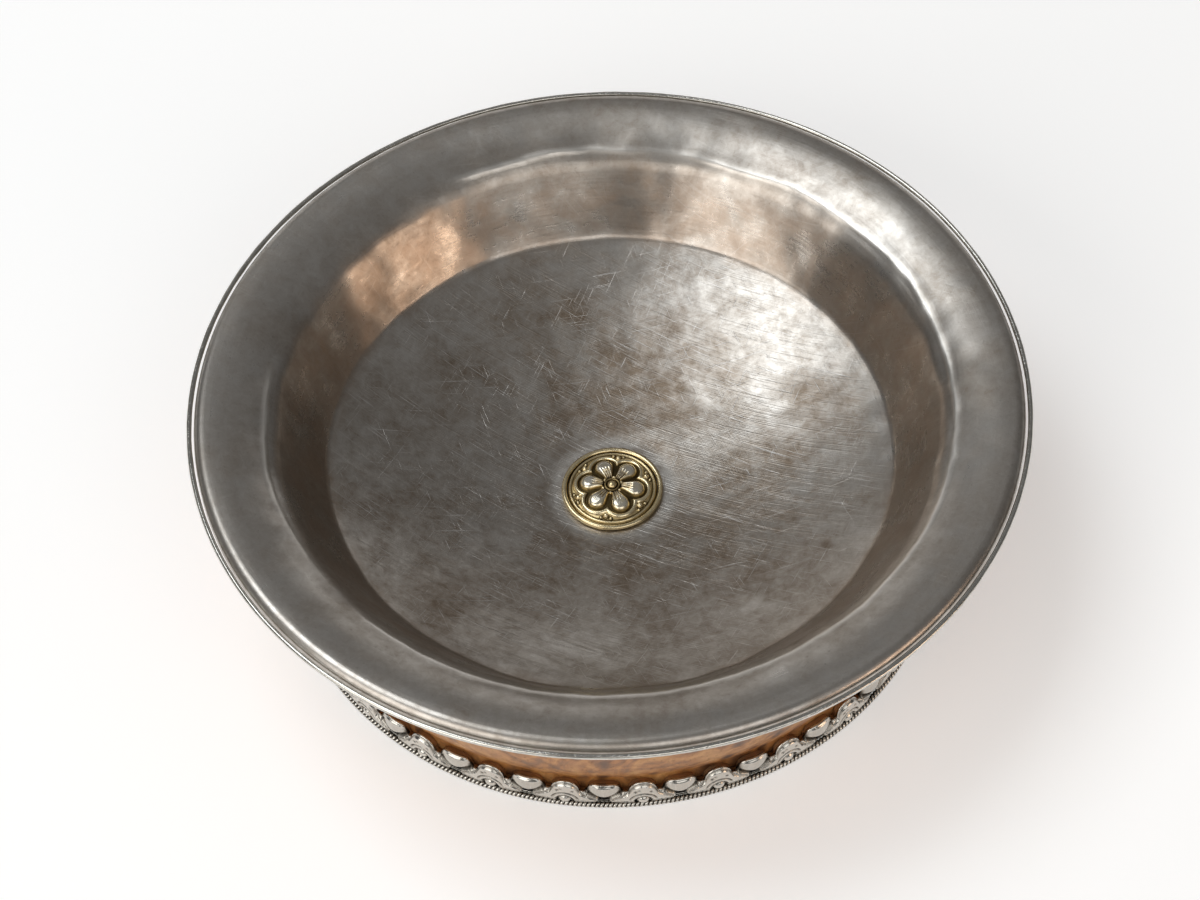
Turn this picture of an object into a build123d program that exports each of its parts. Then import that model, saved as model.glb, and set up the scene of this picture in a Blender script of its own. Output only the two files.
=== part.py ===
from build123d import *
import os
from math import asin, atan2, cos, degrees, radians, sin, sqrt, tan

# Low offering bowl: a turned burl-wood bowl with a raised silver liner, a gilt flower
# medallion in the middle of the floor, and a silver lotus-petal foot with a rope border.
# Millimetres and degrees. +Z is up, and the origin is the centre of the face it stands on.

# Overall
rim_radius = 65.0
bowl_height = 34.8

# Silver liner, described by the face that shows
liner_sheet = 0.7
lip_roll_radius = 1.2
lip_skirt_height = 0.9
flange_slope = 20.0
flange_width = 8.5
shoulder_radius = 7.0
wall_slope = 57.0
wall_run = 5.65
floor_depth = 25.4
corner_radius = 4.0

# Wires, and the film of solder that holds them
rim_wire_radius = 0.55
rope_wire_radius = 0.55
bezel_wire_radius = 0.45
solder_gap = 0.05

# Resin bedding under the liner and under the wood
liner_bedding = 0.5
foot_bedding = 0.5

# Wood body
belly_radius = 60.0
belly_foot_slope = 66.0
cove_radius = 10.0

# Foot: lotus collar and base plate
collar_inner_radius = 51.2
collar_height = 6.0
collar_sheet = 0.8
collar_band_height = 1.6
base_sheet = 0.9
base_panel_radius = 42.0
base_panel_rise = 1.2

# Lotus petals on the collar; heights are above the table, and a setback is from the wood
petal_count = 28
front_petal_angle = 2.9
front_petal_width = 10.4
front_waist_width = 4.8
front_waist_height = 3.1
front_petal_relief = 1.0
front_petal_setback = 0.4
petal_border = 0.55
petal_panel_depth = 0.5
seed_radius = 0.9
seed_height = 2.2
back_petal_width = 5.4
back_spring_height = 4.2
back_petal_drop = 0.2
back_petal_relief = 0.5
back_petal_setback = 0.2

# Medallion in the middle of the floor
plate_radius = 7.2
plate_edge_height = 0.5
plate_crown = 1.1
flower_petal_count = 6
flower_petal_angle = -12.0
flower_petal_reach = 5.3
flower_petal_width = 2.9
flower_petal_height = 0.9
pearl_ring_radius = 6.2
pearl_radius = 0.4

# Rivet through the medallion and the liner
rivet_shank_radius = 0.8
rivet_head_radius = 1.25
rivet_head_height = 0.8
rivet_tail_radius = 1.5
rivet_tail_height = 0.6
rivet_pocket_clearance = 0.3


def along(angle, length=1.0):
    return Vector(cos(radians(angle)), sin(radians(angle))) * length


def arc(centre, radius, start, end):
    return CenterArc((centre.X, centre.Y), radius, start, end - start)


def turned(edges):
    """Solid of revolution about Z of the closed section that the edges bound."""
    return revolve(Plane.XZ * make_face(Curve() + edges), Axis.Z)


def polar(shape, count, first):
    return [Rot(0, 0, first + 360 / count * k) * shape for k in range(count)]


def ring_solid(inner, outer, low, high):
    middle = Pos(0, 0, (low + high) / 2)
    return middle * Cylinder(outer, high - low) - middle * Cylinder(inner, high - low)


# Layout of the liner's section, from the lip in to the axis
lip_outer_radius = rim_radius - 2 * rim_wire_radius - solder_gap
lip_centre = Vector(lip_outer_radius - lip_roll_radius, bowl_height - lip_roll_radius)
skirt_foot = lip_centre.Y - lip_skirt_height
flange_start = lip_centre + along(90 + flange_slope, lip_roll_radius)
flange_end = flange_start + along(180 + flange_slope, flange_width / cos(radians(flange_slope)))
shoulder_centre = flange_end - along(90 + flange_slope, shoulder_radius)
wall_top = shoulder_centre + along(90 + wall_slope, shoulder_radius)
floor_radius = wall_top.X - wall_run
floor_z = bowl_height - floor_depth
floor_edge_z = wall_top.Y - wall_run * tan(radians(wall_slope))
dish_sag = floor_edge_z - floor_z
dish_radius = (floor_radius**2 + dish_sag**2) / (2 * dish_sag)
dish_centre = Vector(0, floor_z + dish_radius)


def corner_fillet_centre():
    """Centre of the fillet that is tangent to the wall and to the dished floor."""
    start = wall_top + along(90 + wall_slope, corner_radius) - dish_centre
    run = along(180 + wall_slope)
    half = start.dot(run)
    reach = sqrt(half**2 - start.dot(start) + (dish_radius - corner_radius) ** 2) - half
    return dish_centre + start + run * reach


corner_centre = corner_fillet_centre()
corner_spoke = corner_centre - dish_centre
dish_end_angle = degrees(atan2(corner_spoke.Y, corner_spoke.X))


def dish_height(radius, lift=0.0):
    """Height of the floor at a radius, for the floor's face moved up by lift."""
    return dish_centre.Y - sqrt((dish_radius - lift) ** 2 - radius**2)


def wall_top_point(depth):
    """Where the wall meets the shoulder, on the liner's face moved into the wood by depth."""
    point = shoulder_centre + along(90 + wall_slope, shoulder_radius - depth)
    return (point.X, point.Y)


def basin_edges(depth):
    """Floor, corner and wall of the liner's face, moved into the wood by depth."""
    dish = arc(dish_centre, dish_radius + depth, -90, dish_end_angle)
    corner = arc(corner_centre, corner_radius + depth, dish_end_angle, wall_slope - 90)
    wall = Line(corner @ 1, wall_top_point(depth))
    return [dish, corner, wall]


def rim_edges(depth):
    """Shoulder, flange, lip and skirt of the liner's face, moved into the wood by depth."""
    shoulder = arc(shoulder_centre, shoulder_radius - depth, 90 + wall_slope, 90 + flange_slope)
    lip = arc(lip_centre, lip_roll_radius - depth, 90 + flange_slope, 0)
    flange = Line(shoulder @ 1, lip @ 0)
    skirt = Line(lip @ 1, (lip_outer_radius - depth, skirt_foot))
    return [shoulder, flange, lip, skirt]


# Liner, its bedding and its rim wire
def make_silver_liner():
    front = basin_edges(0) + rim_edges(0)
    back = basin_edges(liner_sheet) + rim_edges(liner_sheet)
    middle = Line((0, floor_z), (0, floor_z - liner_sheet))
    hem = Line((lip_outer_radius, skirt_foot), (lip_outer_radius - liner_sheet, skirt_foot))
    return turned(front + back + [middle, hem]) - rivet_bore(rivet_shank_radius)


def make_liner_bedding():
    low = liner_sheet + liner_bedding
    middle = Line((0, floor_z - liner_sheet), (0, floor_z - low))
    end = Line(wall_top_point(liner_sheet), wall_top_point(low))
    bed = turned(basin_edges(liner_sheet) + basin_edges(low) + [middle, end])
    return bed - rivet_bore(rivet_tail_radius + rivet_pocket_clearance)


def make_rim_wire():
    height = skirt_foot + rim_wire_radius
    return Pos(0, 0, height) * Torus(rim_radius - rim_wire_radius, rim_wire_radius)


# Wood body
def wood_outside():
    """Cove under the rim and belly down to the collar, tangent to each other."""
    rim_foot = Vector(lip_outer_radius - liner_sheet, skirt_foot)
    belly_foot = Vector(collar_inner_radius, collar_height)
    belly_centre = belly_foot - along(belly_foot_slope - 90, belly_radius)
    gap = rim_foot - belly_centre
    reach = belly_radius + cove_radius
    forward = (reach**2 - cove_radius**2 + gap.length**2) / (2 * gap.length)
    down = sqrt(reach**2 - forward**2)
    unit = gap.normalized()
    cove_centre = belly_centre + unit * forward + Vector(unit.Y, -unit.X) * down
    spoke = cove_centre - belly_centre
    neck_angle = degrees(atan2(spoke.Y, spoke.X))
    rim_spoke = rim_foot - cove_centre
    rim_angle = degrees(atan2(rim_spoke.Y, rim_spoke.X))
    cove = arc(cove_centre, cove_radius, rim_angle, neck_angle + 180)
    belly = arc(belly_centre, belly_radius, neck_angle, belly_foot_slope - 90)
    return [cove, belly]


def make_wood_bowl():
    low = liner_sheet + liner_bedding
    step = Line(wall_top_point(low), wall_top_point(liner_sheet))
    inside = basin_edges(low) + [step] + rim_edges(liner_sheet)
    foot_z = base_sheet + foot_bedding
    panel_z = foot_z + base_panel_rise
    recess_radius = base_panel_radius + foot_bedding
    under = Polyline(
        (collar_inner_radius, collar_height),
        (collar_inner_radius, foot_z),
        (recess_radius, foot_z),
        (recess_radius, panel_z),
        (0, panel_z),
    )
    axis = Line((0, panel_z), (0, floor_z - low))
    body = turned(inside + wood_outside() + list(under.edges()) + [axis])
    pocket_depth = rivet_tail_height + rivet_pocket_clearance
    pocket = Cylinder(rivet_tail_radius + rivet_pocket_clearance, pocket_depth)
    return body - Pos(0, 0, floor_z - liner_sheet - pocket_depth / 2) * pocket


# Medallion and its rivet
def plate_top(radius):
    """Height of the medallion's crowned face at a radius."""
    edge_z = dish_height(plate_radius) + plate_edge_height
    middle_z = floor_z + plate_edge_height + plate_crown
    rise = middle_z - edge_z
    crown_radius = (plate_radius**2 + rise**2) / (2 * rise)
    return middle_z - crown_radius + sqrt(crown_radius**2 - radius**2)


def rivet_bore(radius):
    top = plate_top(0)
    return Pos(0, 0, top / 2) * Cylinder(radius, top)


def make_medallion_plate():
    edge_angle = degrees(asin(plate_radius / dish_radius)) - 90
    seat = arc(dish_centre, dish_radius, -90, edge_angle)
    rim_point = (plate_radius, plate_top(plate_radius))
    side = Line((plate_radius, dish_height(plate_radius)), rim_point)
    half = plate_radius / 2
    crown = ThreePointArc(rim_point, (half, plate_top(half)), (0, plate_top(0)))
    axis = Line((0, floor_z), (0, plate_top(0)))
    plate = turned([seat, side, crown, axis])
    petal_middle = (flower_petal_reach + rivet_head_radius) / 2
    petal_half = (flower_petal_reach - rivet_head_radius) / 2
    petal = scale(Sphere(1), by=(petal_half, flower_petal_width / 2, flower_petal_height))
    petal = Pos(petal_middle, 0, plate_top(petal_middle)) * petal
    pearl = Pos(pearl_ring_radius, 0, plate_top(pearl_ring_radius)) * Sphere(pearl_radius)
    half_step = 180 / flower_petal_count
    petals = polar(petal, flower_petal_count, flower_petal_angle)
    pearls = polar(pearl, flower_petal_count, flower_petal_angle + half_step)
    return plate + petals + pearls - rivet_bore(rivet_shank_radius)


def make_medallion_bezel():
    ring_radius = plate_radius + solder_gap + bezel_wire_radius
    height = dish_height(ring_radius, bezel_wire_radius + solder_gap)
    return Pos(0, 0, height) * Torus(ring_radius, bezel_wire_radius)


def make_medallion_rivet():
    seat = plate_top(0)
    tail_top = floor_z - liner_sheet
    dome_radius = (rivet_head_radius**2 + rivet_head_height**2) / (2 * rivet_head_height)
    dome_centre = Vector(0, seat + rivet_head_height - dome_radius)
    dome_foot = degrees(atan2(seat - dome_centre.Y, rivet_head_radius))
    outline = Polyline(
        (rivet_head_radius, seat),
        (rivet_shank_radius, seat),
        (rivet_shank_radius, tail_top),
        (rivet_tail_radius, tail_top),
        (rivet_tail_radius, tail_top - rivet_tail_height),
        (0, tail_top - rivet_tail_height),
        (0, seat + rivet_head_height),
    )
    return turned([arc(dome_centre, dome_radius, dome_foot, 90)] + list(outline.edges()))


# Lotus collar
collar_outer_radius = collar_inner_radius + collar_sheet
petal_foot = 2 * rope_wire_radius + solder_gap


def arched(springs):
    """Face under an arch: points up its right side, each rising upright to the next in an arc."""
    left = [(-x, z) for x, z in springs]
    sides = []
    for side in (springs, left):
        sides += [TangentArc(low, high, tangent=(0, 1)) for low, high in zip(side, side[1:])]
    sides.append(Line(springs[0], left[0]))
    return make_face(Curve() + sides)


def wrapped(outline, inner, outer):
    """An outline drawn in width and height, pressed into a cylindrical shell at +X."""
    side = Plane((0, 0, 0), x_dir=(0, 1, 0), z_dir=(1, 0, 0))
    prism = extrude(side * outline, amount=outer + collar_sheet)
    return prism & ring_solid(inner, outer, 0, bowl_height)


def make_front_petal():
    springs = [
        (front_petal_width / 2, petal_foot),
        (front_waist_width / 2, front_waist_height),
        (0, collar_height),
    ]
    outline = arched(springs)
    face_radius = collar_outer_radius + front_petal_relief
    panel_radius = face_radius - petal_panel_depth
    petal = wrapped(outline, collar_inner_radius + front_petal_setback, face_radius)
    panel = wrapped(offset(outline, -petal_border), panel_radius, face_radius + petal_border)
    return petal - panel + Pos(panel_radius, 0, seed_height) * Sphere(seed_radius)


def make_back_petal():
    half = back_petal_width / 2
    arch = arched([(half, back_spring_height), (0, collar_height - back_petal_drop)])
    stem_height = back_spring_height - petal_foot
    stem = Pos(0, petal_foot + stem_height / 2) * Rectangle(back_petal_width, stem_height)
    root_radius = collar_inner_radius + back_petal_setback
    return wrapped(arch + stem, root_radius, collar_outer_radius + back_petal_relief)


def make_lotus_collar():
    band_top = base_sheet + collar_band_height
    band = ring_solid(collar_inner_radius, collar_outer_radius, base_sheet, band_top)
    first = front_petal_angle - 90
    fronts = polar(make_front_petal(), petal_count, first)
    backs = polar(make_back_petal(), petal_count, first + 180 / petal_count)
    return band + backs + fronts


# Rope wire, base plate and its bedding
def make_rope_wire():
    ring_radius = collar_outer_radius + solder_gap + rope_wire_radius
    return Pos(0, 0, rope_wire_radius) * Torus(ring_radius, rope_wire_radius)


def make_base_plate():
    lip = base_panel_radius - base_sheet
    section = Polyline(
        (0, base_panel_rise),
        (lip, base_panel_rise),
        (lip, 0),
        (collar_outer_radius, 0),
        (collar_outer_radius, base_sheet),
        (base_panel_radius, base_sheet),
        (base_panel_radius, base_sheet + base_panel_rise),
        (0, base_sheet + base_panel_rise),
        close=True,
    )
    return turned(list(section.edges()))


def make_foot_bedding():
    panel_z = base_sheet + base_panel_rise
    recess_radius = base_panel_radius + foot_bedding
    section = Polyline(
        (0, panel_z),
        (base_panel_radius, panel_z),
        (base_panel_radius, base_sheet),
        (collar_inner_radius, base_sheet),
        (collar_inner_radius, base_sheet + foot_bedding),
        (recess_radius, base_sheet + foot_bedding),
        (recess_radius, panel_z + foot_bedding),
        (0, panel_z + foot_bedding),
        close=True,
    )
    return turned(list(section.edges()))


nodes = {
    "wood_bowl": make_wood_bowl,
    "liner_bedding": make_liner_bedding,
    "silver_liner": make_silver_liner,
    "rim_wire": make_rim_wire,
    "medallion_plate": make_medallion_plate,
    "medallion_bezel": make_medallion_bezel,
    "medallion_rivet": make_medallion_rivet,
    "lotus_collar": make_lotus_collar,
    "rope_wire": make_rope_wire,
    "base_plate": make_base_plate,
    "foot_bedding": make_foot_bedding,
}

os.makedirs("parts", exist_ok=True)
for name, make in nodes.items():
    shape = make()
    export_step(shape, f"parts/{name}.step")
    print(name, round(shape.volume, 2))
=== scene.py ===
import bmesh
import bpy
import math
from mathutils import Matrix, Vector, noise


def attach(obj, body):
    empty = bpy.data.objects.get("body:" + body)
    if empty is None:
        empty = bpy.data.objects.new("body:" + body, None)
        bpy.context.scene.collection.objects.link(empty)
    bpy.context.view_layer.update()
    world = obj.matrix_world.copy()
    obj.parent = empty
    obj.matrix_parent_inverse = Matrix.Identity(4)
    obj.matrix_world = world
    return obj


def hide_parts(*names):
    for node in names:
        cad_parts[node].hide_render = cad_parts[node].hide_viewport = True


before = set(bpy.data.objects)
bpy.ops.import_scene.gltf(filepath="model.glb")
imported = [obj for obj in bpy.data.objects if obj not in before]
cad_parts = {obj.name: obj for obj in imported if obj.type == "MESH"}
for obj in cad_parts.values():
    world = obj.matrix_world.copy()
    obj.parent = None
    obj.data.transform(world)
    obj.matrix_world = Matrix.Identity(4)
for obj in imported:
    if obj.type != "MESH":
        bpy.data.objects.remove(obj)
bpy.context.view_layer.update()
mm = 0.001
print("frame loaded", len(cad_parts), "nodes")


# Shader maths: a wrapped socket takes plain operators
class Wire:
    def __init__(self, finish, socket):
        self.finish = finish
        self.socket = socket

    def combine(self, operation, left, right):
        return self.finish.node("Math", {"operation": operation}, {0: left, 1: right})

    def __add__(self, other):
        return self.combine("ADD", self, other)

    def __sub__(self, other):
        return self.combine("SUBTRACT", self, other)

    def __rsub__(self, other):
        return self.combine("SUBTRACT", other, self)

    def __mul__(self, other):
        return self.combine("MULTIPLY", self, other)

    def __pow__(self, other):
        return self.combine("POWER", self, other)

    __radd__ = __add__
    __rmul__ = __mul__


# The nodes of one material, or of the world
class Finish:
    def __init__(self, owner, shader="Principled BSDF"):
        owner.use_nodes = True
        self.owner = owner
        self.tree = owner.node_tree
        self.shader = self.tree.nodes[shader]

    def node(self, kind, settings=None, inputs=None, output=0):
        made = self.tree.nodes.new("ShaderNode" + kind)
        for key, value in (settings or {}).items():
            if key == "stops":
                self.setStops(made.color_ramp.elements, value)
            else:
                setattr(made, key, value)
        for key, value in (inputs or {}).items():
            self.feed(made.inputs[key], value)
        return Wire(self, made.outputs[output])

    def setStops(self, elements, stops):
        elements[0].position = stops[0][0]
        elements[1].position = stops[-1][0]
        for place, _ in stops[1:-1]:
            elements.new(place)
        for element, (place, tint) in zip(elements, stops):
            element.color = (*tint, 1)

    def feed(self, socket, value):
        if isinstance(value, Wire):
            self.tree.links.new(value.socket, socket)
        elif isinstance(value, tuple) and socket.type == "RGBA":
            socket.default_value = (*value, 1)
        else:
            socket.default_value = value

    def surface(self, **inputs):
        for key, value in inputs.items():
            self.feed(self.shader.inputs[key.replace("_", " ")], value)
        return self.owner

    # Object coordinates in millimetres
    def place(self):
        raw = self.node("TexCoord", output="Object")
        return self.node("VectorMath", {"operation": "SCALE"}, {0: raw, "Scale": 1 / mm})

    def split(self, vector):
        made = self.node("SeparateXYZ", inputs={0: vector}).socket.node
        return [Wire(self, socket) for socket in made.outputs]

    def join(self, x, y, z):
        return self.node("CombineXYZ", inputs={0: x, 1: y, 2: z})

    def grain(self, vector, scale, detail=3.0, rough=0.55, warp=0.0):
        sizes = {"Vector": vector, "Scale": scale, "Detail": detail, "Roughness": rough, "Distortion": warp}
        return self.node("TexNoise", inputs=sizes)

    def ramp(self, value, *stops):
        return self.node("ValToRGB", {"stops": stops}, {0: value})

    # Straight rise from 0 at low to 1 at high
    def rise(self, value, low, high):
        return self.node("MapRange", {"clamp": True}, {0: value, 1: low, 2: high})

    # A band of the given middle and half width, 1 in the middle and 0 outside
    def band(self, value, middle, half):
        away = self.node("Math", {"operation": "ABSOLUTE"}, {0: value - middle})
        return 1 - self.rise(away, 0.0, half)

    def blend(self, factor, first, second):
        settings = {"data_type": "RGBA", "blend_type": "MIX"}
        return self.node("Mix", settings, {0: factor, 6: first, 7: second}, output=2)

    def attribute(self, name):
        return self.node("Attribute", {"attribute_name": name}, output="Fac")

    def bump(self, height, depth):
        return self.node("Bump", inputs={"Height": height, "Distance": depth * mm})

    # Long fine marks that run along one heading
    def scratches(self, vector, heading, length, width, low, high):
        turned = self.node("Mapping", {"vector_type": "TEXTURE"}, {
            "Vector": vector, "Rotation": (0, 0, math.radians(heading)), "Scale": (length, width, length)})
        return self.rise(self.grain(turned, 1.0, 1.0), low, high)


# Points of an arc or a line in a section, as radius and height in millimetres
def arcPoints(centre, radius, start, end, count):
    angles = [math.radians(start + (end - start) * k / count) for k in range(count + 1)]
    return [(centre[0] + radius * math.cos(a), centre[1] + radius * math.sin(a)) for a in angles]


def linePoints(first, last, count):
    return [(first[0] + (last[0] - first[0]) * k / count, first[1] + (last[1] - first[1]) * k / count)
            for k in range(count + 1)]


def offsetPoint(point, angle, length):
    turn = math.radians(angle)
    return (point[0] + length * math.cos(turn), point[1] + length * math.sin(turn))


def chain(*runs):
    points = []
    for run in runs:
        points += [p for p in run if not points or math.dist(p, points[-1]) > 1e-6]
    return points


# Turn a section about the bowl's axis
def turnSection(points, steps, closed=False):
    bm = bmesh.new()
    verts = [bm.verts.new((r * mm, 0, z * mm)) for r, z in points]
    edges = [bm.edges.new(pair) for pair in zip(verts, verts[1:])]
    if closed:
        edges.append(bm.edges.new((verts[-1], verts[0])))
    bmesh.ops.spin(bm, geom=verts + edges, cent=(0, 0, 0), axis=(0, 0, 1), angle=math.tau, steps=steps,
                   use_merge=True)
    closeSeams(bm)
    return bm


def closeSeams(bm):
    bmesh.ops.remove_doubles(bm, verts=bm.verts[:], dist=1e-6)
    bmesh.ops.recalc_face_normals(bm, faces=bm.faces[:])


def finishPiece(name, bm, finish, node):
    mesh = bpy.data.meshes.new(name)
    bm.to_mesh(mesh)
    bm.free()
    mesh.polygons.foreach_set("use_smooth", [True] * len(mesh.polygons))
    mesh.materials.append(finish)
    piece = bpy.data.objects.new(name, mesh)
    bpy.context.collection.objects.link(piece)
    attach(piece, "root")
    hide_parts(node)
    print(name, len(mesh.polygons), "faces")


def smooth(value, low, high):
    t = min(max((value - low) / (high - low), 0), 1)
    return t * t * (3 - 2 * t)


def bell(value, width):
    return math.exp(-((value / width) ** 2))


# Half-round bead across its middle line
def bead(distance, half):
    return math.sqrt(max(0, 1 - (distance / half) ** 2))


# Quarter-round rise from an edge to the top of a pad
def dome(depth, width):
    t = min(max(depth / width, 0), 1)
    return math.sqrt(1 - (1 - t) ** 2)


# Distance to a drop shape that stands on the origin and points up, below zero inside it
def dropDistance(x, y, footRadius, headRadius, length):
    x = abs(x)
    lean = (footRadius - headRadius) / length
    side = math.sqrt(1 - lean * lean)
    reach = side * y - lean * x
    if reach < 0:
        return math.hypot(x, y) - footRadius
    if reach > side * length:
        return math.hypot(x, y - length) - headRadius
    return x * side + y * lean - footRadius


def softMin(first, second, reach):
    near = max(reach - abs(first - second), 0) / reach
    return min(first, second) - near * near * reach / 4


# Silver liner: dished floor, wall, shoulder, crowned flange and rolled lip
liner = {
    "lipRadius": 63.85, "top": 34.8, "lipRoll": 1.6, "skirtFoot": 32.7, "sheet": 0.7,
    "lipNormal": 92, "flangeNormal": 124, "wallNormal": 147, "crown": 18.0, "shoulder": 7.0,
    "floorRadius": 44.61, "floorDepth": 25.4, "corner": 2.4, "steps": 256,
    "broadDent": 0.26, "hammerDent": 0.10, "creaseHeight": 0.16, "creaseWidth": 0.40,
    "calmInside": (9.0, 15.0), "calmOutside": (60.0, 62.5),  # radii where the dents fade in and out
    "steepInside": (41.0, 46.0), "steepOutside": (53.5, 58.0), "uprightSqueeze": 0.3,
    "dimpleRadius": 9.8, "dimpleWidth": 1.8, "dimpleDepth": 0.14,
}


def linerLayout(form):
    lipCentre = (form["lipRadius"] - form["lipRoll"], form["top"] - form["lipRoll"])
    lipStart = offsetPoint(lipCentre, form["lipNormal"], form["lipRoll"])
    crownCentre = offsetPoint(lipStart, form["lipNormal"], -form["crown"])
    flangeEnd = offsetPoint(crownCentre, form["flangeNormal"], form["crown"])
    shoulderCentre = offsetPoint(flangeEnd, form["flangeNormal"], -form["shoulder"])
    wallTop = offsetPoint(shoulderCentre, form["wallNormal"], form["shoulder"])
    wallSlope = math.tan(math.radians(form["wallNormal"] - 90))
    floorZ = form["top"] - form["floorDepth"]
    sag = wallTop[1] - (wallTop[0] - form["floorRadius"]) * wallSlope - floorZ
    dishRadius = (form["floorRadius"] ** 2 + sag**2) / (2 * sag)
    dishCentre = Vector((0, floorZ + dishRadius))
    start = Vector(offsetPoint(wallTop, form["wallNormal"], form["corner"])) - dishCentre
    run = Vector(offsetPoint((0, 0), form["wallNormal"] + 90, 1))
    half = start.dot(run)
    reach = math.sqrt(half**2 - start.dot(start) + (dishRadius - form["corner"]) ** 2) - half
    spoke = start + run * reach
    return {
        "lipCentre": lipCentre, "crownCentre": crownCentre, "shoulderCentre": shoulderCentre,
        "creaseRadius": flangeEnd[0] + 0.5, "floorZ": floorZ,
        "dishRadius": dishRadius, "dishCentre": dishCentre,
        "cornerCentre": dishCentre + spoke, "dishEnd": math.degrees(math.atan2(spoke.y, spoke.x)),
    }


layout = linerLayout(liner)


# The liner's face from the axis out to the skirt, moved into the wood by depth
def linerPath(depth, fine):
    form, at = liner, layout
    wallNormal, flangeNormal, lipNormal = form["wallNormal"], form["flangeNormal"], form["lipNormal"]
    lipRadius = form["lipRoll"] - min(depth, form["sheet"])
    dish = arcPoints(at["dishCentre"], at["dishRadius"] + depth, -90, at["dishEnd"], 30 * fine)
    corner = arcPoints(at["cornerCentre"], form["corner"] + depth, at["dishEnd"], wallNormal - 180, 4 * fine)
    shoulder = arcPoints(at["shoulderCentre"], form["shoulder"] - depth, wallNormal, flangeNormal, 5 * fine)
    flange = arcPoints(at["crownCentre"], form["crown"] - depth, flangeNormal, lipNormal, 14 * fine)
    lip = arcPoints(at["lipCentre"], lipRadius, lipNormal, 0, 5 * fine)
    wall = linePoints(corner[-1], shoulder[0], 6 * fine)
    skirt = [lip[-1], (lip[-1][0], form["skirtFoot"])]
    return chain(dish, corner, wall, shoulder, flange, lip, skirt)


def dishHeight(radius):
    return layout["dishCentre"][1] - math.sqrt(layout["dishRadius"] ** 2 - radius**2)


# Unevenness of the hand-raised sheet along its normal, and how far a point lies on the crease; the liner's
# colour also uses that crease mask for a painted highlight line
def linerDent(point):
    form = liner
    radius = math.hypot(point.x, point.y)
    hold = smooth(radius, *form["calmInside"]) * (1 - smooth(radius, *form["calmOutside"]))
    steep = smooth(radius, *form["steepInside"]) * (1 - smooth(radius, *form["steepOutside"]))
    upright = Vector((point.x, point.y, point.z * form["uprightSqueeze"]))  # stretches the dents up the wall
    broad = noise.noise(point * 0.06 + Vector((3.1, 7.7, 0))) + 0.5 * noise.noise(upright * 0.13)
    hammer = noise.noise(upright * 0.30 + Vector((9.0, 2.0, 5.0)))
    wander = 0.8 * noise.noise(point * 0.06 + Vector((1.0, 4.0, 8.0))) + 0.25 * noise.noise(point * 0.4)
    presence = smooth(noise.noise(point * 0.045 + Vector((6.0, 1.0, 3.0))), -0.25, 0.15)
    crease = presence * bell(radius - layout["creaseRadius"] - wander, form["creaseWidth"])
    dimple = form["dimpleDepth"] * bell(radius - form["dimpleRadius"], form["dimpleWidth"])
    soft = form["broadDent"] * (0.4 + 0.9 * steep) * broad
    rough = form["hammerDent"] * (0.6 + 0.8 * steep) * hammer
    return hold * (soft + rough + form["creaseHeight"] * crease) - dimple, crease


def buildLiner(finish):
    bm = turnSection(linerPath(0, 2), liner["steps"])
    if min(bm.faces, key=lambda face: face.calc_center_median().length).normal.z < 0:
        bmesh.ops.reverse_faces(bm, faces=bm.faces[:])
    bm.normal_update()
    # Crease mask, kept for the painted highlight line along the shoulder crease
    creaseHighlightLayer = bm.verts.layers.float.new("crease")
    normals = [vert.normal.copy() for vert in bm.verts]
    for vert, normal in zip(bm.verts, normals):
        dent, vert[creaseHighlightLayer] = linerDent(vert.co / mm)
        vert.co += normal * dent * mm
    bmesh.ops.solidify(bm, geom=bm.faces[:], thickness=liner["sheet"] * mm)
    finishPiece("liner", bm, finish, "silver_liner")


# Wires: a round section turned about the axis, a little uneven as drawn by hand
wires = {
    "rimWire": {"node": "rim_wire", "radius": 64.50, "height": 33.70, "thick": 0.45,
                "steps": 256, "uneven": 0.06},
    "bezel": {"node": "medallion_bezel", "radius": 7.70, "height": 10.20, "thick": 0.47,
              "steps": 128, "uneven": 0.06},
}


def buildWire(name, finish):
    form = wires[name]
    ring = arcPoints((form["radius"], form["height"]), form["thick"], 0, 330, 11)
    bm = turnSection(ring, form["steps"], True)
    bm.normal_update()
    normals = [vert.normal.copy() for vert in bm.verts]
    for vert, normal in zip(bm.verts, normals):
        vert.co += normal * form["uneven"] * mm * (noise.noise(vert.co / mm * 0.35) - 0.5)
    finishPiece(name, bm, finish, form["node"])


# Turned wood body
wood = {
    "footRadius": 51.2, "footTop": 6.0, "footZ": 1.4, "recessRadius": 42.5, "recessZ": 2.6,
    "bellyRadius": 60.0, "bellyFootSlope": 66, "cove": 10.0, "bedding": 0.5, "steps": 160, "uneven": 0.08,
}


def woodOutside():
    rimFoot = Vector((liner["lipRadius"] - liner["sheet"], liner["skirtFoot"]))
    normal = wood["bellyFootSlope"] - 90
    bellyCentre = Vector(offsetPoint((wood["footRadius"], wood["footTop"]), normal, -wood["bellyRadius"]))
    gap = rimFoot - bellyCentre
    reach = wood["bellyRadius"] + wood["cove"]
    forward = (reach**2 - wood["cove"] ** 2 + gap.length**2) / (2 * gap.length)
    down = math.sqrt(reach**2 - forward**2)
    unit = gap.normalized()
    coveCentre = bellyCentre + unit * forward + Vector((unit.y, -unit.x)) * down
    spoke = coveCentre - bellyCentre
    neck = math.degrees(math.atan2(spoke.y, spoke.x))
    rimSpoke = rimFoot - coveCentre
    rimTurn = math.degrees(math.atan2(rimSpoke.y, rimSpoke.x))
    cove = arcPoints(coveCentre, wood["cove"], rimTurn, neck + 180, 14)
    return chain(cove, arcPoints(bellyCentre, wood["bellyRadius"], neck, normal, 20))


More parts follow.
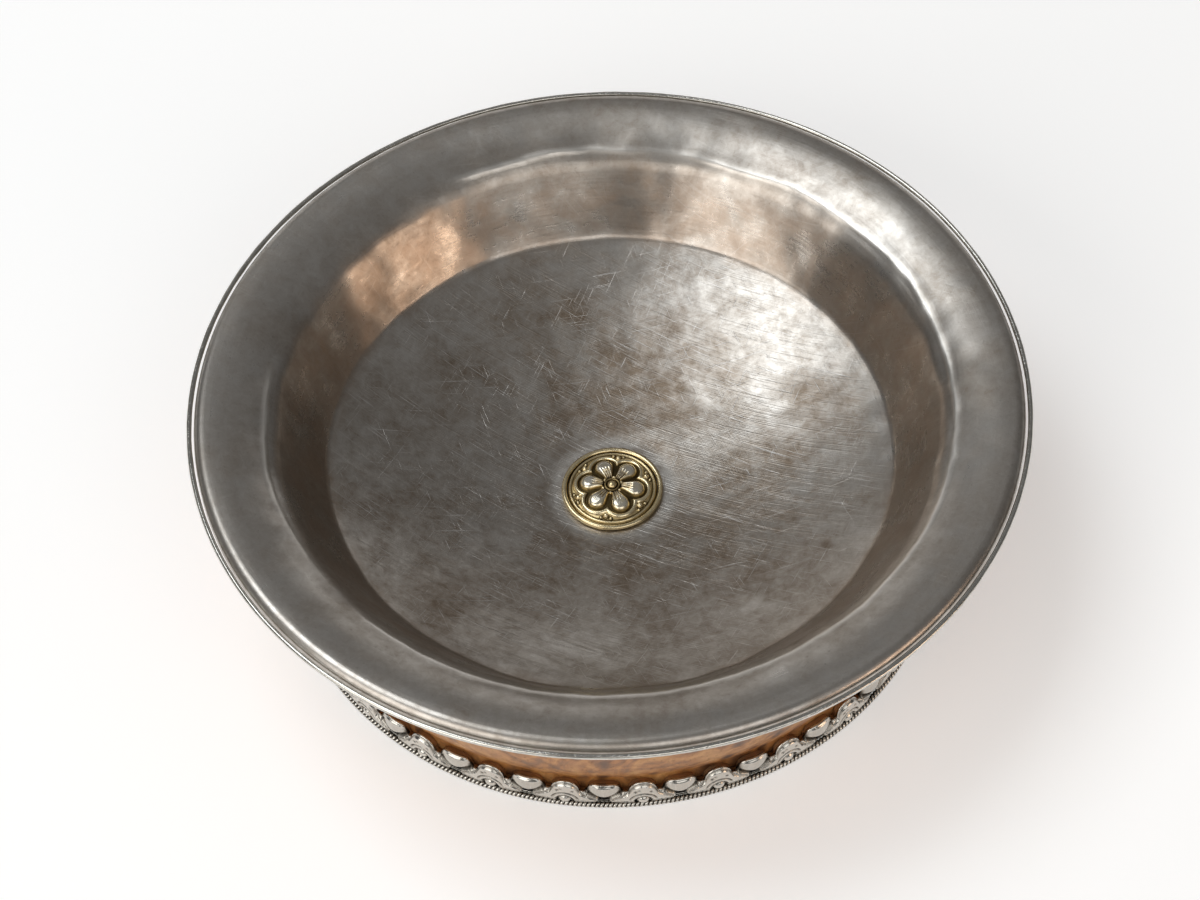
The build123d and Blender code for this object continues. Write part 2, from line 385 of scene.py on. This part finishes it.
def buildWood(finish):
    inside = linerPath(liner["sheet"] + wood["bedding"], 1)
    under = [(wood["footRadius"], wood["footZ"]), (wood["recessRadius"], wood["footZ"]),
             (wood["recessRadius"], wood["recessZ"]), (0, wood["recessZ"])]
    bm = turnSection(chain(inside, woodOutside(), under), wood["steps"])
    bm.normal_update()
    normals = [vert.normal.copy() for vert in bm.verts]
    for vert, normal in zip(bm.verts, normals):
        point = vert.co / mm
        if math.hypot(point.x, point.y) > wood["footRadius"] + 1:
            vert.co += normal * wood["uneven"] * mm * noise.noise(point * 0.12)
    finishPiece("woodBody", bm, finish, "wood_bowl")


# Gilt medallion: a crowned plate chased with a flower
medallion = {
    "radius": 7.2, "edge": 0.5, "crown": 1.1, "rings": 88, "steps": 256,
    "petals": 6, "turn": -12.0, "petalFoot": 1.90, "petalHead": 3.78, "footRadius": 0.74,
    "headRadius": 1.50, "petalHeight": 0.90, "petalRound": 0.95,
    "flutes": (-1, 0.05, 1), "fluteGap": 0.30, "fluteFan": 0.10, "fluteStart": 1.6, "fluteEnd": (2.7, 3.6),
    "fluteWidth": 0.12, "fluteDepth": 0.30, "well": (1.2, 1.55),
    "lobeRing": 3.5, "lobe": 2.45, "ridgeHalf": 0.40, "ridgeHeight": 0.50, "field": 0.12,
    "lineRing": 6.8, "lineHalf": 0.2, "lineHeight": 0.3,
    "curls": ((0.0, 5.80, 0.44), (-0.14, 6.20, 0.26), (0.12, 6.25, 0.24)),  # turn, ring, size
}


def plateTop(radius):
    form = medallion
    edgeZ = dishHeight(form["radius"]) + form["edge"]
    middleZ = layout["floorZ"] + form["edge"] + form["crown"]
    rise = middleZ - edgeZ
    crownRadius = (form["radius"] ** 2 + rise**2) / (2 * rise)
    return middleZ - crownRadius + math.sqrt(crownRadius**2 - radius**2)


# Height, brightness and wear of the chased flower at a point of the plate
def flowerRelief(x, y):
    form = medallion
    radius = math.hypot(x, y)
    angle = math.degrees(math.atan2(y, x)) - form["turn"]
    sector = 360 / form["petals"]
    local = math.radians(angle - sector * round(angle / sector))
    along, across = radius * math.cos(local), radius * math.sin(local)
    petal = dropDistance(across, along - form["petalFoot"], form["footRadius"], form["headRadius"],
                         form["petalHead"] - form["petalFoot"])
    lobe = math.hypot(along - form["lobeRing"], across) - form["lobe"]
    worn = 0.0
    if petal < 0:
        full = dome(-petal, form["petalRound"])
        spread = form["fluteGap"] + form["fluteFan"] * (along - form["fluteStart"])
        flute = sum(bell(across - side * spread, form["fluteWidth"]) for side in form["flutes"])
        flute = min(flute, 1) * (1 - smooth(along, *form["fluteEnd"]))
        height = (form["petalHeight"] - form["fluteDepth"] * flute) * full
        bright = 0.2 + 0.8 * full - 0.7 * flute
        worn = smooth(full, 0.5, 0.95) * (1 - 0.8 * flute)
    else:
        ridge = bead(lobe, form["ridgeHalf"])
        outside = smooth(lobe, 0.0, form["ridgeHalf"])
        height = max(form["ridgeHeight"] * ridge, form["field"] * outside)
        bright = max(0.15 + 0.45 * outside, 0.98 * smooth(ridge, 0.1, 0.75))
    mid = math.radians(angle - sector * (math.floor(angle / sector) + 0.5))
    for turn, ring, size in form["curls"]:
        far = math.hypot(radius * math.cos(mid + turn) - ring, radius * math.sin(mid + turn))
        if far < size:
            height = max(height, form["field"] + size * bead(far, size))
            bright = max(bright, 0.2 + 0.8 * bead(far, size))
        elif far < size + 0.15 and lobe > form["ridgeHalf"]:
            bright = min(bright, 0.12)
    bright *= 1 - 0.8 * bell(radius - form["lineRing"] + 0.32, 0.1)
    line = bead(radius - form["lineRing"], form["lineHalf"])
    height = max(height, form["lineHeight"] * line)
    bright = max(bright, 0.9 * line)
    rim = smooth(radius, form["lineRing"] + 0.12, form["radius"])
    well = 1 - smooth(radius, *form["well"])
    height = height * (1 - well) * (1 - rim)
    bright = bright * (1 - 0.85 * max(well, rim))
    return height, bright, worn


def buildMedallion(finish):
    form = medallion
    face = [(form["radius"] * k / form["rings"], plateTop(form["radius"] * k / form["rings"]))
            for k in range(form["rings"] + 1)]
    seat = [(radius, dishHeight(radius) + 0.02) for radius in (form["radius"], 4.8, 2.4, 0)]
    bm = turnSection(chain(face, seat), form["steps"])
    brightLayer = bm.verts.layers.float.new("bright")
    wornLayer = bm.verts.layers.float.new("worn")
    for vert in bm.verts:
        x, y, z = vert.co / mm
        if z > plateTop(math.hypot(x, y)) - 0.05:
            height, vert[brightLayer], vert[wornLayer] = flowerRelief(x, y)
            vert.co.z += height * mm
    finishPiece("medallion", bm, finish, "medallion_plate")


# Rivet in the middle of the flower: a small dome in a raised lip
rivet = {"head": 1.34, "dome": 0.86, "height": 0.8, "groove": 0.12, "lip": 0.22, "shank": 0.8, "tail": 1.5,
         "tailHeight": 0.6, "steps": 48}


def buildRivet(finish):
    form = rivet
    seat = plateTop(form["head"])
    tailTop = layout["floorZ"] - liner["sheet"]
    grooveZ = seat + form["groove"]
    domeRise = plateTop(0) + form["height"] - grooveZ
    domeRadius = (form["dome"] ** 2 + domeRise**2) / (2 * domeRise)
    centre = (0, grooveZ + domeRise - domeRadius)
    foot = math.degrees(math.atan2(grooveZ - centre[1], form["dome"]))
    lip = arcPoints((form["head"] - form["lip"], seat + form["lip"]), form["lip"], 180, 0, 8)
    shank = [(form["head"], seat), (form["shank"], seat), (form["shank"], tailTop), (form["tail"], tailTop),
             (form["tail"], tailTop - form["tailHeight"]), (0, tailTop - form["tailHeight"])]
    bm = turnSection(chain(arcPoints(centre, domeRadius, 90, foot, 10), lip, shank), form["steps"])
    brightLayer = bm.verts.layers.float.new("bright")
    for vert in bm.verts:
        vert[brightLayer] = 0.02 + 0.65 * smooth(vert.co.z / mm, grooveZ + 0.1, grooveZ + 0.5)
    finishPiece("rivetHead", bm, finish, "medallion_rivet")


# Lotus collar: one sheet chased with front and back petals
collar = {
    "inner": 51.25, "ground": 52.0, "low": 1.0, "notch": 3.6, "petals": 28, "turn": 2.9,
    "columns": 76, "rows": 32,
    "crestZ": 3.85, "crest": 2.15, "armFoot": Vector((0.8, 2.75)), "armTip": Vector((4.40, 1.90)),
    "armFootRadius": 1.80, "armTipRadius": 0.78, "fillet": 1.2,
    "frontRelief": 0.95, "frontRound": 1.3, "border": 0.16, "borderIn": 0.22, "borderWidth": 0.16,
    "chase": 0.20, "chaseIn": 0.55, "chaseWidth": 0.13,
    "hoodZ": 1.6, "hood": 2.05, "hoodGroove": 0.30, "hoodSink": 0.35,
    "seedZ": 1.82, "seedHalf": 1.02, "seedRise": 0.85, "seedFoot": 0.35, "seedHeight": 0.75,
    "backHalf": 2.6, "backTop": 5.75, "backRelief": 0.95, "backRound": 0.9, "backFoot": (2.2, 3.3),
    "gap": 0.15, "over": 0.35, "lip": 0.45, "puttyDrop": 0.3, "tipShare": 0.55, "tipReach": 0.55,
    "cuts": ((-1.15, 4.25, 0.24), (-0.62, 4.62, 0.17), (1.2, 4.2, 0.2)), "cutDepth": 0.35,  # x, z, size
    "middle": 0.5, "shift": 0.22, "vary": 0.10,
}


# Small lasting differences from one petal to the next
def handMade(index, channel):
    return noise.noise(Vector((index * 1.7 + 0.3, channel * 3.1 + 0.7, 0.5)))


# Upper edge of the sheet at a distance from the middle of a front petal
def collarTop(x, pitch):
    form = collar
    top = form["notch"]
    if abs(x) < form["crest"]:
        top = max(top, form["crestZ"] + math.sqrt(form["crest"] ** 2 - x**2))
    far = (pitch / 2 - abs(x)) / form["backHalf"]
    if far < 1:
        top = max(top, form["notch"] + (form["backTop"] - form["notch"]) * (1 - far**4) ** 0.5)
    return top


# Distance to the outline of a front petal: a round crest on two leaf-shaped arms
def frontDistance(x, z):
    form = collar
    run = form["armTip"] - form["armFoot"]
    unit = run.normalized()
    step = Vector((abs(x), z)) - form["armFoot"]
    arm = dropDistance(step.x * unit.y - step.y * unit.x, step.dot(unit), form["armFootRadius"],
                       form["armTipRadius"], run.length)
    crest = math.hypot(x, z - form["crestZ"]) - form["crest"] - form["over"]
    return softMin(crest, arm, form["fillet"])


# Height and brightness of the chased petals
def petalRelief(x, z, pitch):
    form = collar
    front = frontDistance(x, z)
    if front < 0:
        edge = dome(-front, form["frontRound"])
        chase = bell(front + form["chaseIn"], form["chaseWidth"])
        border = bell(front + form["borderIn"], form["borderWidth"])
        height = form["frontRelief"] * edge + form["border"] * border - form["chase"] * chase
        bright = 0.15 + 0.85 * smooth(edge, 0.1, 0.8) - 0.55 * chase
        level = math.hypot(x, z - form["hoodZ"]) / form["hood"]
        groove = bell(level - 1, 0.075) * smooth(z, 1.9, 2.5)
        inside = 1 - smooth(level, 0.62, 0.74)
        height -= form["hoodGroove"] * groove + form["hoodSink"] * inside
        bright *= (1 - 0.85 * groove) * (1 - 0.85 * inside)
        seed = bead(math.hypot(x / form["seedHalf"], (z - form["seedZ"]) / form["seedRise"]), 1)
        if seed > 0:
            height = max(height, form["seedFoot"] + form["seedHeight"] * seed)
            bright = 0.1 + 0.9 * smooth(seed, 0.2, 0.7)
        for cutX, cutZ, size in form["cuts"]:
            cut = bell(math.hypot(x - cutX, z - cutZ), size)
            height -= form["cutDepth"] * cut
            bright *= 1 - 0.9 * cut
        return height, bright
    back = pitch / 2 - abs(x)
    across = min(back / (form["backHalf"] + form["over"]), 1)
    pad = (1 - across**2) * dome(front - form["gap"], form["backRound"]) * smooth(z, *form["backFoot"])
    return form["backRelief"] * pad, 0.08 + 0.82 * smooth(pad, 0.05, 0.6)


def buildCollar(finish):
    form = collar
    pitch = math.tau * (form["ground"] + form["middle"]) / form["petals"]
    columns = form["columns"] * form["petals"]
    sections = form["rows"] + 5  # behind the face: foot, putty twice, lip; then the foot again
    bm = bmesh.new()
    bmesh.ops.create_grid(bm, x_segments=columns, y_segments=sections, size=1)
    brightLayer = bm.verts.layers.float.new("bright")
    puttyLayer = bm.verts.layers.float.new("putty")
    for vert in bm.verts:
        column = round((vert.co.x + 1) / 2 * columns)
        row = round((vert.co.y + 1) / 2 * sections)
        index = round(column / form["columns"])
        which = index % form["petals"]
        angle = math.radians(form["turn"] - 90) + math.tau * column / columns
        offset = (column / form["columns"] - index) * pitch
        hold = math.cos(math.pi * offset / pitch)
        x = offset + form["shift"] * handMade(which, 1) * hold
        lift = 1 + form["vary"] * handMade(which, 2) * hold
        top = collarTop(x, pitch)
        if row == 0 or row == sections:
            radius, z, bright = form["inner"], form["low"], 0
        elif row == 1:
            radius, z, bright = form["inner"], top - form["puttyDrop"], 0
        else:
            z = top + (form["low"] - top) * max(row - 4, 0) / form["rows"]
            height, bright = petalRelief(x, z, pitch)
            full = smooth(top - z, 0, form["tipReach"])
            radius = form["ground"] + height * lift * (form["tipShare"] + (1 - form["tipShare"]) * full)
            if row < 4:
                radius -= form["lip"]
                z -= form["puttyDrop"] * (3 - row)
        vert.co = (radius * mm * math.cos(angle), radius * mm * math.sin(angle), z * mm)
        vert[brightLayer] = bright
        vert[puttyLayer] = 1 if row < 3 or row == sections else 0
    closeSeams(bm)
    finishPiece("lotusCollar", bm, finish, "lotus_collar")


# Rope border: two strands twisted together and bent round the foot
rope = {"radius": 52.6, "height": 0.55, "core": 0.34, "strand": 0.21, "strandRound": 0.7,
        "twists": 245, "stepsPerTwist": 10, "sides": 10}


def buildRope(finish):
    form = rope
    bm = bmesh.new()
    steps = form["twists"] * form["stepsPerTwist"]
    bmesh.ops.create_grid(bm, x_segments=steps, y_segments=form["sides"], size=1)
    brightLayer = bm.verts.layers.float.new("bright")
    for vert in bm.verts:
        along = (vert.co.x + 1) * math.pi
        around = (vert.co.y + 1) * math.pi
        crest = abs(math.cos(around - form["twists"] * along))
        reach = form["core"] + form["strand"] * crest ** form["strandRound"]
        ring = form["radius"] + reach * math.cos(around)
        height = form["height"] + reach * math.sin(around)
        vert.co = Vector((ring * math.cos(along), ring * math.sin(along), height)) * mm
        vert[brightLayer] = 0.03 + 0.95 * smooth(crest, 0.25, 0.85)
    closeSeams(bm)
    finishPiece("ropeBorder", bm, finish, "rope_wire")


# Base plate
base = {"radius": 51.95, "sheet": 0.9, "panelRadius": 42.0, "panelRise": 1.2, "round": 0.3, "steps": 128}


def buildBase(finish):
    form = base
    lip = form["panelRadius"] - form["sheet"]
    turn = form["round"]
    under = linePoints((0, form["panelRise"]), (lip - turn, form["panelRise"]), 16)
    bend = arcPoints((lip - turn, form["panelRise"] - turn), turn, 90, 0, 4)
    foot = arcPoints((lip + turn, turn), turn, 180, 270, 4)
    edge = arcPoints((form["radius"] - turn, turn), turn, 270, 360, 4)
    top = [(form["radius"], form["sheet"]), (form["panelRadius"], form["sheet"]),
           (form["panelRadius"], form["sheet"] + form["panelRise"]), (0, form["sheet"] + form["panelRise"])]
    bm = turnSection(chain(under, bend, foot, edge, top), form["steps"])
    finishPiece("basePlate", bm, finish, "base_plate")


def newFinish(name):
    return Finish(bpy.data.materials.new(name))


# Tarnished, hand-worked silver of the liner
def linerFinish():
    made = newFinish("tarnishedSilver")
    at = made.place()
    x, y, _ = made.split(at)
    radius = (x * x + y * y) ** 0.5
    around = made.node("VectorMath", {"operation": "NORMALIZE"}, {0: made.join(x, y, 0.0)})
    ax, ay, _ = made.split(around)
    clouds = made.grain(at, 0.055, 6.0, 0.62, 0.6)
    patches = made.grain(at, 0.17, 5.0, 0.65, 0.3)
    mottle = made.grain(at, 0.55, 5.0, 0.7, 0.4)
    specks = made.grain(at, 1.5, 4.0, 0.7)
    wall = made.rise(radius, 43.0, 45.5) * (1 - made.rise(radius, 49.5, 52.5))
    floor = 1 - made.rise(radius, 42.0, 45.0)
    halo = made.band(radius, 9.2, 1.9)
    turned = made.grain(made.join(radius * 3.5, ax * 6.0, ay * 6.0), 1.0, 3.0, 0.65)
    brushed = made.scratches(at, -27, 11.0, 0.20, 0.50, 0.75)
    marks = made.scratches(at, -33, 8.0, 0.20, 0.62, 0.73) + made.scratches(at, 62, 6.0, 0.22, 0.67, 0.76)
    marks = marks + made.scratches(at, 8, 10.0, 0.22, 0.67, 0.76)
    marks = marks + made.scratches(at, 110, 5.0, 0.20, 0.68, 0.77)
    marks = marks * (0.25 + floor * 0.75) * made.rise(patches, 0.36, 0.60)
    crease = made.attribute("crease")
    stain = floor * (1 - made.rise(radius, 12.0, 36.0)) * 0.07
    tarnish = clouds * 0.40 + patches * 0.28 + mottle * 0.32 + wall * 0.04 + stain - halo * 0.12
    tarnish = made.rise(tarnish, 0.38, 0.64)
    silver = made.blend(tarnish * (0.75 + floor * 0.25), (0.57, 0.54, 0.50), (0.23, 0.18, 0.135))
    silver = made.blend(wall * made.rise(patches, 0.30, 0.60) * 0.6, silver, (0.40, 0.305, 0.235))
    silver = made.blend(made.rise(specks, 0.60, 0.78) * 0.45, silver, (0.16, 0.12, 0.09))
    silver = made.blend(marks * 0.40, silver, (0.86, 0.85, 0.83))
    # Painted highlight: a pale line blended in along the shoulder crease
    silver = made.blend(crease * 0.8, silver, (0.92, 0.88, 0.82))
    rough = 0.22 + tarnish * 0.14 + turned * 0.12 - wall * 0.06 + halo * 0.06
    height = turned * 0.6 + brushed * floor * 0.7 + marks * -0.5 + specks * 0.2 + mottle * 0.8
    return made.surface(Base_Color=silver, Metallic=1.0, Roughness=rough, Normal=made.bump(height, 0.025))


# Silver trim, blackened where the chasing is deep, with brown putty behind the petals
def trimFinish(name, useRelief):
    made = newFinish(name)
    at = made.place()
    clouds = made.grain(at, 0.3, 4.0, 0.6)
    specks = made.grain(at, 3.0, 3.0, 0.6)
    marks = made.scratches(at, 17, 3.0, 0.14, 0.60, 0.74) + made.scratches(at, -63, 4.0, 0.16, 0.60, 0.74)
    if useRelief:
        level = made.attribute("bright") + (clouds - 0.5) * 0.30 + (specks - 0.5) * 0.2
    else:
        level = 0.92 + (clouds - 0.5) * 0.6 + (specks - 0.5) * 0.2
    tint = made.ramp(level, (0.0, (0.012, 0.010, 0.008)), (0.22, (0.075, 0.062, 0.048)),
                     (0.55, (0.30, 0.28, 0.245)), (1.0, (0.64, 0.62, 0.57)))
    tint = made.blend(marks * 0.18, tint, (0.88, 0.87, 0.85))
    rough = 0.44 - made.rise(level, 0.1, 0.9) * 0.30 + specks * 0.06
    putty = made.rise(made.attribute("putty"), 0.4, 0.6)
    tint = made.blend(putty, tint, made.blend(clouds, (0.30, 0.15, 0.06), (0.55, 0.33, 0.16)))
    return made.surface(Base_Color=tint, Metallic=1 - putty, Roughness=rough + putty * 0.4,
                        Normal=made.bump(specks + marks * -0.5, 0.012))


# Gilding worn through to silver on the high spots
def giltFinish(name, useRelief):
    made = newFinish(name)
    at = made.place()
    clouds = made.grain(at, 0.7, 4.0, 0.6)
    specks = made.grain(at, 5.0, 3.0, 0.6)
    level = (made.attribute("bright") if useRelief else 0.78) + (clouds - 0.5) * 0.4 + (specks - 0.5) * 0.2
    gold = made.ramp(level, (0.0, (0.016, 0.011, 0.005)), (0.25, (0.11, 0.075, 0.03)),
                     (0.55, (0.56, 0.42, 0.20)), (0.9, (0.90, 0.77, 0.50)))
    if useRelief:
        bare = made.attribute("worn") * made.rise(clouds, 0.3, 0.6)
        gold = made.blend(bare * 0.8, gold, (0.86, 0.83, 0.77))
    rough = 0.46 - made.rise(level, 0.1, 0.9) * 0.24
    return made.surface(Base_Color=gold, Metallic=1.0, Roughness=rough, Normal=made.bump(specks, 0.01))


# Waxed burl with eyes, swirling figure and dark pores
def burlFinish():
    made = newFinish("waxedBurl")
    at = made.node("VectorMath", {"operation": "MULTIPLY"}, {0: made.place(), 1: (1.0, 1.0, 0.45)})
    swirl = made.node("TexNoise", inputs={"Vector": at, "Scale": 0.07, "Detail": 3.0}, output="Color")
    swirl = made.node("VectorMath", {"operation": "SCALE"}, {0: swirl, "Scale": 7.0})
    bent = made.node("VectorMath", {"operation": "ADD"}, {0: at, 1: swirl})
    figure = made.grain(bent, 0.16, 6.0, 0.62, 1.4)
    lines = made.node("TexWave", {"wave_type": "RINGS"}, {"Vector": bent, "Scale": 0.22, "Distortion": 6.0,
                                                         "Detail": 4.0, "Detail Scale": 1.6})
    eyes = made.node("TexVoronoi", {"feature": "F1"}, {"Vector": bent, "Scale": 0.24})
    eye = (1 - made.rise(eyes, 0.10, 0.32)) * made.rise(figure, 0.34, 0.46)
    halo = 1 - made.rise(eyes, 0.12, 0.42)
    pores = made.rise(made.grain(at, 1.6, 4.0, 0.7), 0.56, 0.70)
    tone = figure * 0.80 + lines * 0.09 + halo * -0.16 + 0.04
    tint = made.ramp(tone, (0.20, (0.105, 0.038, 0.012)), (0.38, (0.270, 0.112, 0.036)),
                     (0.48, (0.440, 0.185, 0.052)), (0.60, (0.600, 0.310, 0.110)))
    tint = made.blend(eye * 0.8, tint, (0.050, 0.019, 0.008))
    tint = made.blend(pores * 0.45, tint, (0.080, 0.030, 0.012))
    rough = 0.40 + pores * 0.2 + figure * 0.1
    return made.surface(Base_Color=tint, Roughness=rough, Coat_Weight=0.15, Coat_Roughness=0.3,
                        Normal=made.bump(pores * -1.0 + lines * 0.3, 0.03))


# Dark lac between the wood and the metal
def lacFinish():
    made = newFinish("lacResin")
    clouds = made.grain(made.place(), 0.5, 4.0)
    tint = made.ramp(clouds, (0.3, (0.03, 0.016, 0.01)), (0.7, (0.10, 0.055, 0.03)))
    return made.surface(Base_Color=tint, Roughness=0.35 + clouds * 0.2)


# Plain pale floor, lifted towards white where it is seen directly or in a reflection
def floorFinish(lift):
    made = newFinish("paleFloor")
    clouds = made.grain(made.place(), 0.004, 3.0)
    tint = made.ramp(clouds, (0.3, (0.93, 0.93, 0.925)), (0.7, (0.95, 0.95, 0.945)))
    kinds = ("Camera", "Glossy", "Transmission")
    rays = [made.node("LightPath", output=f"Is {kind} Ray") for kind in kinds]
    seen = made.rise(rays[0] + rays[1] + rays[2], 0.0, 1.0)
    glow = made.blend(seen, (0.0, 0.0, 0.0), (lift, lift, lift))
    return made.surface(Base_Color=tint, Roughness=0.9, Emission_Color=glow, Emission_Strength=1.0)


chasedFinish = trimFinish("chasedSilver", True)
plainTrim = trimFinish("plainSilver", False)
chasedGilt = giltFinish("chasedGilt", True)
plainGilt = giltFinish("plainGilt", False)
buildLiner(linerFinish())
buildWire("rimWire", plainTrim)
buildWood(burlFinish())
buildMedallion(chasedGilt)
buildWire("bezel", plainGilt)
buildRivet(chasedGilt)
buildCollar(chasedFinish)
buildRope(chasedFinish)
buildBase(plainTrim)
lac = lacFinish()
for node in ("liner_bedding", "foot_bedding"):
    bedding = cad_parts[node]
    bedding.data.materials.clear()
    bedding.data.materials.append(lac)
print("pieces made")

# Stage: floor, soft lamps, world and camera
stage = {
    "floorSize": 6.0, "floorLift": 0.33, "horizon": 0.06, "zenith": 0.20,
    "lamps": {
        "window": {"stand": (-0.80, 0.34, 1.69), "size": (1.15, 1.0),
                   "power": 11.5, "tint": (0.93, 0.97, 1.0)},
        "side": {"stand": (-1.0, -1.0, 0.8), "size": (1.3, 1.1),
                 "power": 10.0, "tint": (1.0, 0.97, 0.93)},
        "front": {"stand": (0.5, -1.35, 1.05), "size": (1.2, 1.0),
                  "power": 5.0, "tint": (1.0, 0.98, 0.95)},
        "back": {"stand": (0.0, 1.5, 0.46), "size": (2.1, 0.66),
                 "power": 2.2, "tint": (1.0, 0.98, 0.96)},
        "glow": {"stand": (1.32, -0.68, 0.34), "size": (0.7, 0.4),
                 "power": 2.4, "tint": (1.0, 0.74, 0.55)},
    },
    "camera": {"stand": (0.0, -286.5, 395.2), "aim": (-1.62, -9.77, 33.25), "roll": -2.67, "lens": 90.0},
}


def buildFloor():
    bm = bmesh.new()
    bmesh.ops.create_grid(bm, x_segments=4, y_segments=4, size=stage["floorSize"] / 2)
    mesh = bpy.data.meshes.new("floor")
    bm.to_mesh(mesh)
    bm.free()
    mesh.materials.append(floorFinish(stage["floorLift"]))
    floor = bpy.data.objects.new("floor", mesh)
    bpy.context.collection.objects.link(floor)


def aimAt(stand, target):
    return (Vector(target) - Vector(stand)).to_track_quat("-Z", "Y").to_matrix().to_4x4()


def buildLamps():
    for name, form in stage["lamps"].items():
        lamp = bpy.data.lights.new(name, "AREA")
        lamp.shape = "RECTANGLE"
        lamp.size, lamp.size_y = form["size"]
        lamp.energy = form["power"]
        lamp.color = form["tint"]
        holder = bpy.data.objects.new(name, lamp)
        holder.matrix_world = Matrix.Translation(form["stand"]) @ aimAt(form["stand"], (0, 0, 0.02))
        bpy.context.collection.objects.link(holder)


def buildWorld():
    world = bpy.data.worlds.new("studio")
    bpy.context.scene.world = world
    made = Finish(world, "Background")
    up = made.split(made.node("TexCoord", output="Generated"))[2]
    low, high = stage["horizon"], stage["zenith"]
    made.surface(Color=made.ramp(up, (0.0, (low, low, low)), (0.85, (high, high, high))), Strength=1.0)


def buildCamera():
    form = stage["camera"]
    stand = Vector(form["stand"]) * mm
    lens = bpy.data.cameras.new("camera")
    lens.lens = form["lens"]
    lens.sensor_width = 36.0
    camera = bpy.data.objects.new("camera", lens)
    turn = aimAt(stand, Vector(form["aim"]) * mm) @ Matrix.Rotation(math.radians(form["roll"]), 4, "Z")
    camera.matrix_world = Matrix.Translation(stand) @ turn
    bpy.context.collection.objects.link(camera)
    bpy.context.scene.camera = camera


buildFloor()
buildLamps()
buildWorld()
buildCamera()
bpy.context.scene.view_settings.view_transform = "Standard"
print("stage set")
